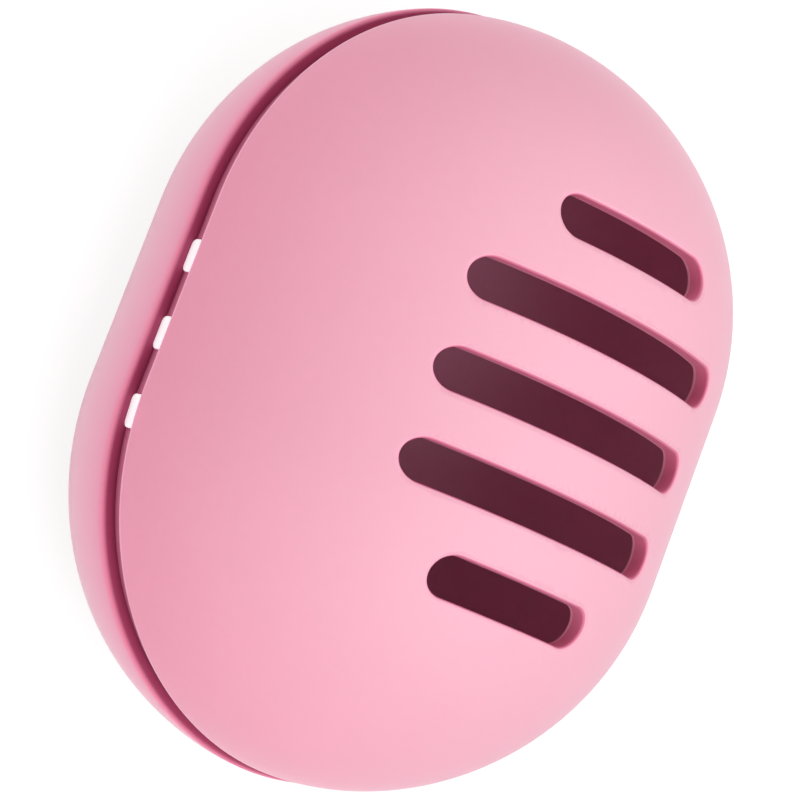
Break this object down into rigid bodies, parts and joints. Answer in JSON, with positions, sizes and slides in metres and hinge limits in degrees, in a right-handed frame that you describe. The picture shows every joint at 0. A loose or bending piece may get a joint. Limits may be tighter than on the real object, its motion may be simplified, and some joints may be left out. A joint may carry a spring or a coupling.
{
  "type": "makeup sponge case",
  "caption": "Closed oval clamshell case in soft silicone, with a domed vented cover that turns on living hinge straps over a deep base shell.",
  "frame": {"origin": "middle of the base's resting flat, with the case closed", "axes": "+Z from the base up to the vented cover, +Y along the case, hinge on the -X flank"},
  "size_m": [0.065, 0.085, 0.052],
  "materials": {
    "base_silicone": "matte silicone",
    "cover_silicone": "matte silicone",
    "strap_silicone": "matte silicone, nearly white"
  },
  "bodies": {
    "base": {"base_shell": "base_silicone", "hinge_strap_upper": "strap_silicone", "hinge_strap_middle": "strap_silicone", "hinge_strap_lower": "strap_silicone"},
    "cover": {"vented_cover": "cover_silicone"}
  },
  "joints": [
    {"name": "cover_hinge", "type": "hinge", "parent": "base", "child": "cover", "pos_m": [-0.03245, -0.00445, 0.02085], "axis": [0, -1, 0], "range_deg": [0, 180], "deforming": ["hinge_strap_upper", "hinge_strap_middle", "hinge_strap_lower"]}
  ]
}
